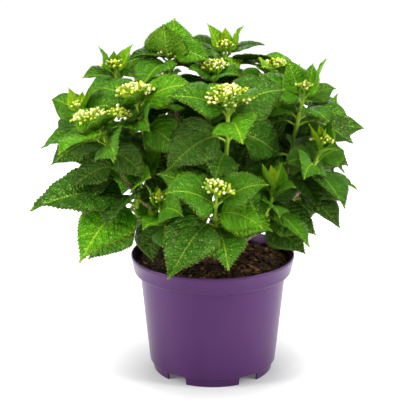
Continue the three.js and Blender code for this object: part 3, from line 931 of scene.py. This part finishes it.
class Shoot:
    """A growing tip: its stem, from the end of its limb to its topmost leaf."""

    def __init__(self, name, index, lines):
        self.name = name
        self.index = index
        self.skin = node_points("foliage_" + name)
        centre = self.skin.mean(0)
        ends = {limb: line[-1] for limb, (line, _) in lines.items()}
        self.limb = min(ends, key=lambda limb: np.linalg.norm(ends[limb] - centre))
        self.bearer = lines[self.limb][0]
        self.tip = self.topmost()
        facts = shoot_facts(name, self.tip)
        self.reach, self.turn = facts["reach"], facts["turn"]
        self.head, self.head_at = facts["head"], facts["head_at"]
        self.size, self.trims = facts.get("size", 1.0), facts.get("trims", {})
        self.crown, self.crest = facts.get("crown", self.turn), facts.get("crest", 1.0)
        self.axis = unit(unit(self.tip - PLANT_FOOT) + UP)
        self.middle = self.tip - self.axis * (MASS_DROP + MASS_DROP_SHARE * self.reach)
        end = self.bearer[-1]
        way = unit(self.bearer[-1] - self.bearer[-4])
        span = np.linalg.norm(self.tip - end)
        bend = span * STEM_BEND
        self.stem = bezier([end, end + way * bend, self.tip - self.axis * bend, self.tip],
                           STEM_POINTS)
        heights = (self.stem - self.middle) @ self.axis
        self.middle_at = int(np.abs(heights).argmin())

    def topmost(self):
        """The corner that the limb points at, of those at the top of the foliage."""
        highest = self.skin[self.skin[:, 2] > self.skin[:, 2].max() - 0.001]
        arms = highest - self.bearer[-1]
        way = unit(self.bearer[-1] - self.bearer[-6])
        return highest[np.linalg.norm(np.cross(arms, way), axis=1).argmin()]

    def at(self, share):
        """A point on the stem: 0 is the middle of the foliage, 1 its tip, and below 0 the limb."""
        last = len(self.stem) - 1
        if share >= 0:
            index = self.middle_at + share * (last - self.middle_at)
            low = int(index)
            high = min(low + 1, last)
            return self.stem[low] * (1 - index + low) + self.stem[high] * (index - low)
        whole = np.concatenate([self.bearer, self.stem[1 : self.middle_at + 1]])
        lengths = distances(whole)
        wanted = max(lengths[-1] + share * np.linalg.norm(self.tip - self.middle), 0.01)
        return np.array([np.interp(wanted, lengths, whole[:, i]) for i in range(3)])

    def pair_trims(self, number):
        return [self.trims.get((number, side), 1.0) for side in (0, 180)]

    def lobe(self, way):
        """The foliage's own corner that lies most nearly that way from its middle."""
        arms = self.skin - self.middle
        return self.skin[(unit(arms) @ way).argmax()]


# ---- Leaves -----------------------------------------------------------------------------


class Blade:
    """A leaf's grid of points, its closed skin of triangles and their place on its map."""

    def __init__(self, rows, half_columns):
        half = np.linspace(0, 1, half_columns + 1) ** 0.8
        self.across = np.concatenate([-half[::-1], half[1:]])
        self.along = np.linspace(0, 1, rows)
        self.rows, self.columns = rows, len(self.across)
        grid = np.arange(rows * self.columns).reshape(rows, self.columns)
        lower = grid.copy()
        inner = (rows - 2) * (self.columns - 2)
        fresh = np.arange(inner) + grid.size
        lower[1:-1, 1:-1] = fresh.reshape(rows - 2, self.columns - 2)
        self.count = grid.size + inner
        top = self.quads(grid)
        bottom = self.quads(lower)[:, ::-1]
        places = self.quads(grid)
        self.triangles = np.concatenate([top, bottom])
        u = UV_MIDDLE + UV_HALF_WIDTH * np.tile(self.across, rows)
        v = np.repeat(UV_FOOT + UV_LENGTH * self.along, self.columns)
        upper_map = np.stack([u, v], 1)[places]
        lower_map = np.stack([u + 2 * UV_MIDDLE, v], 1)[places[:, ::-1]]
        self.map = np.concatenate([upper_map, lower_map]).reshape(-1, 2)

    @staticmethod
    def quads(grid):
        a, b = grid[:-1, :-1].ravel(), grid[:-1, 1:].ravel()
        c, d = grid[1:, 1:].ravel(), grid[1:, :-1].ravel()
        return np.concatenate([np.stack([a, b, c], 1), np.stack([a, c, d], 1)])

    def shaped(self, line, side, aspect, fold, wave, twist, phase):
        """The blade laid along a line. The rest says how it folds, waves and twists."""
        length = length_of(line)
        along = self.along[:, None]
        across = self.across[None, :]
        width = np.maximum(leaf_outline(along), LEAST_WIDTH) * length * aspect / 2
        x = across * width
        teeth = np.where(np.arange(self.rows) % 2 == 0, TOOTH_OUT, TOOTH_IN)[:, None]
        teeth = teeth * np.clip((along - 0.1) * 12, 0, 1) * np.clip((0.97 - along) * 20, 0, 1)
        rim = (np.abs(across) > 0.999) * np.sign(across)
        x = x + rim * teeth * width.max() * 0.75
        out = np.abs(x) / length
        veins = (along - out * VEIN_SLANT - out**2 * VEIN_CURVE) * VEINS
        bulge = np.abs(np.sin(math.pi * veins)) ** 0.8
        belly = np.abs(across) ** 0.6 * (1 - np.abs(across) ** 3)
        z = bulge * belly * QUILTING * length
        z = z + np.abs(x) * math.tan(fold) - out**2 * length * EDGE_SAG
        z = z - np.exp(-((out / GROOVE_WIDTH) ** 2)) * GROOVE_DEPTH * length
        margin = wave * across**2 * length
        z = z + margin * np.sin(2 * math.pi * LONG_WAVES * along + phase)
        z = z + margin * 0.5 * np.sin(2 * math.pi * SHORT_WAVES * along - phase * across)
        tangent = unit(np.gradient(line, axis=0))
        side = unit(side - tangent * (tangent @ side)[:, None])
        normal = np.cross(side, tangent)
        angle = (twist * self.along)[:, None]
        turned_side = side * np.cos(angle) + normal * np.sin(angle)
        turned_normal = normal * np.cos(angle) - side * np.sin(angle)
        hook = np.abs(rim) * np.maximum(teeth, 0) * 0.5 * width.max()
        upper = (line[:, None, :] + x[:, :, None] * turned_side[:, None, :]
                 + hook[:, :, None] * tangent[:, None, :]
                 + z[:, :, None] * turned_normal[:, None, :])
        lower = upper[1:-1, 1:-1] - turned_normal[1:-1, None, :] * LEAF_THICKNESS
        return np.concatenate([upper.reshape(-1, 3), lower.reshape(-1, 3)])


LARGE_BLADE = Blade(51, 4)
SMALL_BLADE = Blade(35, 3)
ROUGH_BLADE = Blade(9, 2)
SMALL_LENGTH = 0.05

TIP_MARGIN = 0.008  # how far a leaf's tip may pass the part's own box
LOWEST_TIP = 0.18  # no leaf hangs lower than this, just above the rim of the pot
LEAST_TIP = np.array([*(corner - TIP_MARGIN for corner in cad_box[0][:2]), LOWEST_TIP])
GREATEST_TIP = np.array([corner + TIP_MARGIN for corner in cad_box[1]])
PLANT_HEART = np.array([0.0, 0.055, 0.32])
LIGHT_WAY = np.array([0.0, -0.25, 0.0])  # all leaves turn a little towards the front
FACING_OUT = 1.5  # how much a level leaf turns its face away from the plant's heart
FACING_UP = 1.8  # how much of that a rising leaf gives up
NEIGHBOURHOOD = 0.13  # leaves further apart than this can't cross


class Foliage:
    """All the leaves, dealt out into heaps by tone, with the stalks that carry them."""

    def __init__(self):
        self.heaps = [Heap() for _ in LEAF_TONES]
        self.stalks = Heap()
        self.grown = []

    def course(self, node, tip, axis, droop):
        """The line of a leaf and its stalk, and the way across its blade."""
        chord = tip - node
        span = np.linalg.norm(chord)
        away = chord - UP * (chord @ UP)
        away = unit(away) if np.linalg.norm(away) > 1e-6 else bearing_way(0)
        start = unit(away * 0.75 + axis * 0.8)
        end = unit(unit(chord) - UP * droop)
        line = bezier([node, node + start * span * 0.38, tip - end * span * 0.36, tip], 90)
        chord = unit(chord)
        outwards = unit(((node + tip) / 2 - PLANT_HEART) * [1, 1, 0.3])
        facing = UP + LIGHT_WAY + outwards * (FACING_OUT - FACING_UP * max(0.0, chord @ UP))
        side = np.cross(chord, facing)
        return line, unit(side) if np.linalg.norm(side) > 0.25 else np.cross(away, UP)

    def crossing(self, points, triangles):
        """How many faces of the leaves grown before it a leaf cuts through."""
        centre = points.mean(0)
        tree = BVHTree.FromPolygons(points.tolist(), triangles.tolist())
        total = 0
        for other_centre, other_tree in self.grown:
            if np.linalg.norm(other_centre - centre) < NEIGHBOURHOOD:
                total += len(tree.overlap(other_tree))
        return total, tree, centre

    def grow(self, rng, node, tip, axis, tone, stalk_share, droop, tries, ease, breadth):
        """Grows one leaf from a stem's node towards a tip. Of a few tries, it keeps the one
        that crosses the leaves before it least."""
        span = np.linalg.norm(tip - node)
        best = None
        for attempt in range(tries):
            loose = 0.0 if attempt == 0 else 0.02 + 0.016 * attempt
            aim = tip + rng.normal(0, 1, 3) * span * loose * [1, 1, 0.8]
            aim = node + (aim - node) * min(1.0, span * 1.03 / np.linalg.norm(aim - node))
            aim = np.clip(aim, LEAST_TIP, GREATEST_TIP)
            line, side = self.course(node, aim, axis, droop + rng.normal(0, 0.08))
            cut = int(len(line) * stalk_share)
            slim = 1 - 2.6 * max(0.0, span - 0.085)
            shape = dict(aspect=LEAF_ASPECTS[tone] * breadth * slim * rng.uniform(0.94, 1.06),
                         fold=math.radians(rng.uniform(12, 32)), wave=rng.uniform(0.008, 0.02),
                         twist=rng.normal(0, 0.16), phase=rng.uniform(0, 6.28))
            roll = rng.normal(0, ease)
            tilted = unit(side + UP * roll)
            rough = ROUGH_BLADE.shaped(evenly(line[cut:], ROUGH_BLADE.rows), tilted, **shape)
            total, tree, centre = self.crossing(rough, ROUGH_BLADE.triangles)
            if best is None or total < best[0]:
                best = (total, tree, centre, line, cut, tilted, shape)
            if total == 0:
                break
        _, tree, centre, line, cut, tilted, shape = best
        self.grown.append((centre, tree))
        blade_line = line[cut:]
        small = length_of(blade_line) < SMALL_LENGTH
        blade = SMALL_BLADE if small else LARGE_BLADE
        points = blade.shaped(evenly(blade_line, blade.rows), tilted, **shape)
        self.heaps[tone].add(points, blade.triangles, blade.map)
        thick = 0.0009 + 0.011 * length_of(blade_line)
        stalk = evenly(line[: cut + 4], 9)
        stalk = stalk - np.cross(tilted, unit(np.gradient(stalk, axis=0))) * thick * 0.7
        widths = thick * np.array([1.5, 1.15, 0.95, 0.9, 0.9, 0.9, 0.95, 0.9, 0.5])
        self.stalks.add(*sweep(stalk, widths, 8))

    def build(self, finishes, stalk_finish, nodes):
        for tone, heap, finish in zip(LEAF_TONES, self.heaps, finishes):
            if heap.count:
                heap.piece(tone[0] + "_leaves", finish, "foliage", *nodes)
        self.stalks.piece("leaf_stalks", stalk_finish, "foliage")


# The pairs of a shoot from its lowest up: where its node is on the stem, its bearing from
# the shoot's turn, how it rises, its tone, its blade's droop and its stalk's share. A pair
# with a skin ends that many times as far out as the foliage's corner that way, and one
# with a length ends at that share of the reach. A young pair's node is given as how far it
# is below the shoot's head or top.
PAIRS = [
    dict(at=-2.0, turn=90, rise=-8, length=1.0, tone=5, droop=0.5, stalk=0.22),
    dict(at=-1.3, turn=20, rise=-18, length=1.0, tone=5, droop=0.55, stalk=0.22),
    dict(at=-0.8, turn=52, rise=-36, skin=1.3, tone=4, droop=0.6, stalk=0.18),
    dict(at=-0.35, turn=0, rise=-28, skin=1.04, tone=4, droop=0.5, stalk=0.18),
    dict(at=-0.12, turn=135, rise=-10, skin=1.35, tone=3, droop=0.6, stalk=0.16),
    dict(at=0.05, turn=90, rise=2, skin=1.04, tone=3, droop=0.5, stalk=0.16),
    dict(at=0.4, turn=180, rise=30, skin=1.12, tone=3, droop=0.45, stalk=0.13),
]
TOP_PAIRS = [
    dict(below=0.3, turn=90, rise=60, length=0.52, tone=2, droop=0.1, stalk=0.12),
    dict(below=0.08, turn=0, rise=72, length=0.3, tone=1, droop=0.0, stalk=0.12),
]
HEAD_PAIRS = [
    dict(below=0.5, turn=110, rise=24, length=0.66, tone=3, droop=0.4, stalk=0.16),
    dict(below=0.3, turn=20, rise=32, length=0.36, tone=2, droop=0.3, stalk=0.16),
]
OPEN_HEAD = 0.0175  # a head of this radius stands clear of the leaves
INWARD_STRETCH = 0.22  # leaves that point at a neighbour overlap it by this share
TONE_STEPS = [-1, 0, 0, 0, 1]  # what chance adds to a leaf's tone
LIGHTER_ABOVE = 0.39  # a young leaf that ends above this height is one tone lighter
WIDEST_TIP = 0.215  # a pair with a length leaves out what would end further out than this
TURN_SWAY = 9  # how far a pair strays from its bearing, in degrees
TRIES = 7  # how many places a leaf tries
EASE = 0.28  # how freely a leaf rolls to either side
YOUNG_TRIES = 2
YOUNG_EASE = 0.1


def grow_pair(foliage, shoot, rng, pair, at, turn, seed, trims):
    """Two opposite leaves at one node."""
    node = shoot.at(at)
    young = "below" in pair
    for side, trim in zip((0, 180), trims):
        if trim == 0:
            continue
        bearing = turn + pair["turn"] + side + TURN_SWAY * math.sin(seed)
        way = bearing_way(bearing, pair["rise"])
        if "skin" in pair:
            outwards = max(0.0, unit(shoot.middle - PLANT_HEART) @ way)
            stretch = 1 + INWARD_STRETCH * (1 - outwards)
            arm = shoot.lobe(way) - shoot.middle
            tip = shoot.middle + arm * pair["skin"] * shoot.size * stretch * trim
        else:
            length = pair["length"] * shoot.reach * shoot.size * rng.uniform(0.92, 1.1)
            tip = node + way * length * trim * (shoot.crest if young else 1.0)
        tip[2] = max(tip[2], LOWEST_TIP)
        if "length" in pair and np.hypot(tip[0], tip[1]) > WIDEST_TIP:
            continue
        lighter = 1 if young and tip[2] > LIGHTER_ABOVE and shoot.crest == 1.0 else 0
        tone = pair["tone"] + rng.choice(TONE_STEPS) - lighter
        tone = int(np.clip(tone, 0, len(LEAF_TONES) - 1))
        foliage.grow(rng, node, tip, shoot.axis, tone, pair["stalk"], pair["droop"],
                     tries=YOUNG_TRIES if young else TRIES,
                     ease=YOUNG_EASE if young else EASE,
                     breadth=shoot.crest if young else 1.0)


def grow_shoot(foliage, shoot, rng):
    """All the pairs of a shoot that its limb is long enough for, and its young pairs."""
    lowest = -(length_of(shoot.bearer) - 0.012) / np.linalg.norm(shoot.tip - shoot.middle)
    for k, pair in enumerate(PAIRS):
        if pair["at"] > lowest:
            trims = shoot.pair_trims(k)
            grow_pair(foliage, shoot, rng, pair, pair["at"], shoot.turn, shoot.index + k, trims)
    top = shoot.head_at if shoot.head else 0.86
    upper = HEAD_PAIRS if shoot.head > OPEN_HEAD else TOP_PAIRS
    for k, pair in enumerate(upper):
        trims = shoot.pair_trims(len(PAIRS) + k)
        at = top - pair["below"]
        grow_pair(foliage, shoot, rng, pair, at, shoot.crown, shoot.index + k, trims)


STEM_FOOT_RADIUS = 0.0031
STEM_TIP_RADIUS = 0.0017
STEM_SIDES = 12
STEM_RINGS = 36
NODE_SWELLING = 0.22  # as a share of the stem's radius,
NODE_LENGTH = 0.004  # and how far along the stem it reaches
BARE_TOP = 0.84  # where the stem of a shoot with no head ends


def grow_stems(shoots, material):
    """Young stems that taper towards the head and swell at every node."""
    heap = Heap()
    for shoot in shoots:
        top = shoot.at(shoot.head_at if shoot.head else BARE_TOP)
        cut = int(np.linalg.norm(shoot.stem - top, axis=1).argmin())
        line = evenly(np.concatenate([shoot.bearer[-4:-1], shoot.stem[: cut + 1]]), STEM_RINGS)
        share = np.linspace(0, 1, len(line))
        radius = STEM_FOOT_RADIUS + (STEM_TIP_RADIUS - STEM_FOOT_RADIUS) * share
        for pair in PAIRS:
            gap = np.linalg.norm(line - shoot.at(pair["at"]), axis=1)
            radius = radius * (1 + NODE_SWELLING * np.exp(-((gap / NODE_LENGTH) ** 2)))
        heap.add(*sweep(line, radius, STEM_SIDES))
    heap.piece("young_stems", material, "green_bark")


# ---- Flower heads -----------------------------------------------------------------------

BUD_LENGTH = 0.0044
BUD_RADIUS = 0.002
BUD_SPACING = 0.0026
BUD_PROFILE = [(0.0, 0.28), (0.2, 0.8), (0.55, 1.0), (0.85, 0.72), (1.0, 0.2)]
HEAD_RAYS = 5
FEWEST_BUDS = 24
TWIN_HEADS = ("left_front",)  # shoots whose head has parted in two, side by side
TWIN_SHARES = (0.8, 0.55)  # their radii, as shares of one whole head's
TWIN_PLACES = (-0.014, 0.024)
TWIN_BEARING = -10  # the way from one to the other
TWIN_STEP = 0.008  # how much higher the smaller one stands
TWIN_SPREAD = (-0.2, 0.3)  # how far each leans away from the other
RAY_RADIUS = 0.0009
RAY_STEPS = 6
HEAD_DEPTH = 0.55  # how deep a head is for its radius,
HEAD_NECK = 0.004  # and further by this
HEAD_DOME = 0.45  # how far its edge drops, as a share of its depth
HUB_HEIGHT = 0.55  # where a ray ends, as shares of the head's depth
HUB_OUT = 0.55  # and of its radius
BUD_SCATTER = 0.0011


def bud(place, way, scale):
    heights = np.array([share for share, _ in BUD_PROFILE]) * BUD_LENGTH * scale
    radii = np.array([width for _, width in BUD_PROFILE]) * BUD_RADIUS * scale
    return sweep(place + way * heights[:, None], radii, 6)


def grow_head(rng, at, axis, radius, heaps):
    """A flat-topped head: rays part at a dark node, and each carries its share of the buds."""
    side = unit(np.cross(axis, [0.2, 1.0, 0.1]))
    other = np.cross(axis, side)
    depth = HEAD_DEPTH * radius + HEAD_NECK
    count = max(FEWEST_BUDS, int((radius / BUD_SPACING) ** 2 * 0.8))
    hubs = []
    for ray in range(HEAD_RAYS):
        angle = 2 * math.pi * ray / HEAD_RAYS + rng.uniform(-0.2, 0.2)
        across = side * math.cos(angle) + other * math.sin(angle)
        hub = at + axis * depth * HUB_HEIGHT + across * radius * HUB_OUT
        hubs.append(hub)
        middle = at + axis * depth * 0.35 + across * radius * 0.2
        ray_line = bezier([at, middle, middle, hub], RAY_STEPS)
        heaps["rays"].add(*sweep(ray_line, np.linspace(0.0011, 0.0008, RAY_STEPS), 6))
    hubs.append(at + axis * depth * 0.6)
    heaps["rays"].add(*sweep([at, hubs[-1]], RAY_RADIUS, 6))
    knot = np.linspace(-1, 1, 5)
    knot_line = at + axis * knot[:, None] * 0.0014
    heaps["knots"].add(*sweep(knot_line, 0.0017 * np.sqrt(1.1 - knot**2), 7))
    hubs = np.array(hubs)
    for i in range(count):
        out = radius * math.sqrt((i + 0.5) / count)
        angle = i * GOLDEN_ANGLE + rng.normal(0, 0.12)
        across = side * math.cos(angle) + other * math.sin(angle)
        dome = depth * (1 - HEAD_DOME * (out / radius) ** 2) + rng.normal(0, BUD_SCATTER)
        place = at + axis * dome + across * out
        hub = hubs[np.linalg.norm(hubs - place, axis=1).argmin()]
        way = unit(place - hub + axis * 0.002)
        scale = rng.uniform(0.75, 1.15) * (1.0 if radius > 0.012 else 0.8)
        kind = "cream" if rng.random() < 0.5 * min(1.0, radius / 0.02) else "lime"
        heaps[kind].add(*bud(place, way, scale))
        heaps["stalks"].add(*sweep(np.linspace(hub, place + way * 0.0004, 3), 0.0005, 4))


def build_heads(shoots, finishes):
    rng = np.random.default_rng(SEED + 3)
    heaps = {kind: Heap() for kind in ("cream", "lime", "rays", "stalks", "knots")}
    for shoot in shoots:
        if not shoot.head:
            continue
        at = shoot.at(shoot.head_at) - shoot.axis * (0.45 * shoot.head)
        lean = unit(shoot.axis + UP * 0.9 + rng.normal(0, 0.12, 3))
        if shoot.name in TWIN_HEADS:
            beside = bearing_way(TWIN_BEARING)
            rises = (0.0, TWIN_STEP)
            for share, place, spread, rise in zip(TWIN_SHARES, TWIN_PLACES, TWIN_SPREAD, rises):
                foot = at + beside * place + UP * rise
                grow_head(rng, foot, unit(lean + beside * spread), shoot.head * share, heaps)
        else:
            grow_head(rng, at, lean, shoot.head, heaps)
    heaps["cream"].piece("cream_buds", finishes["cream"], "foliage")
    heaps["lime"].piece("lime_buds", finishes["lime"], "foliage")
    heaps["rays"].piece("flower_rays", finishes["rays"], "foliage")
    heaps["stalks"].piece("bud_stalks", finishes["stalks"], "foliage")
    heaps["knots"].piece("ray_knots", finishes["knots"], "foliage")


# ---- Assembly ---------------------------------------------------------------------------

set_camera()
set_light()
build_floor()

bark = bark_finish("cracked_bark", "d6b090", "a87c60", "e2c4a6")
old_bark = bark_finish("old_bark", "6e523c", "4a3424", "8a6c52")
green_bark = stem_finish("green_bark", "64782e", "74603a", "a8a068")
young_green = stem_finish("young_stem_skin", "98bc24", "80a61c", "bccc5c")
stalk_green = stem_finish("leaf_stalk_skin", "9cc034", "86aa28", "bccc64")

build_pot(pot_finish())
build_compost(compost_finish())
build_chips({
    "dark_bark_chips": chip_finish("dark_chips", "3a2618", "1c110a"),
    "brown_bark_chips": chip_finish("brown_chips", "6b4529", "3d2616"),
    "tan_bark_chips": chip_finish("tan_chips", "a87a4c", "6a4526"),
})

limb_names = sorted(name for name in NODES if name.startswith(("cane_", "bough_")))
limb_lines = {name: limb_line(name) for name in limb_names}
build_wood(bark, green_bark, limb_lines)
build_root_crown(old_bark)

mass_names = sorted(name for name in NODES if name.startswith("foliage_"))
shoots = [Shoot(name.removeprefix("foliage_"), i, limb_lines) for i, name in enumerate(mass_names)]
foliage = Foliage()
growth = np.random.default_rng(SEED + 2)
for shoot in shoots:
    grow_shoot(foliage, shoot, growth)
foliage.build(leaf_finishes(), stalk_green, mass_names)
grow_stems(shoots, young_green)
build_heads(shoots, {
    "cream": bud_finish("cream_bud_skin", "faf6b4", "e6e070"),
    "lime": bud_finish("lime_bud_skin", "d0d834", "a6bc1a"),
    "rays": stem_finish("ray_skin", "a4c038", "8cac2c", "bccc60"),
    "stalks": stem_finish("bud_stalk_skin", "a9c030", "8fa824", "c4d058"),
    "knots": stem_finish("knot_skin", "7a4a34", "5a3024", "a06a4a"),
})
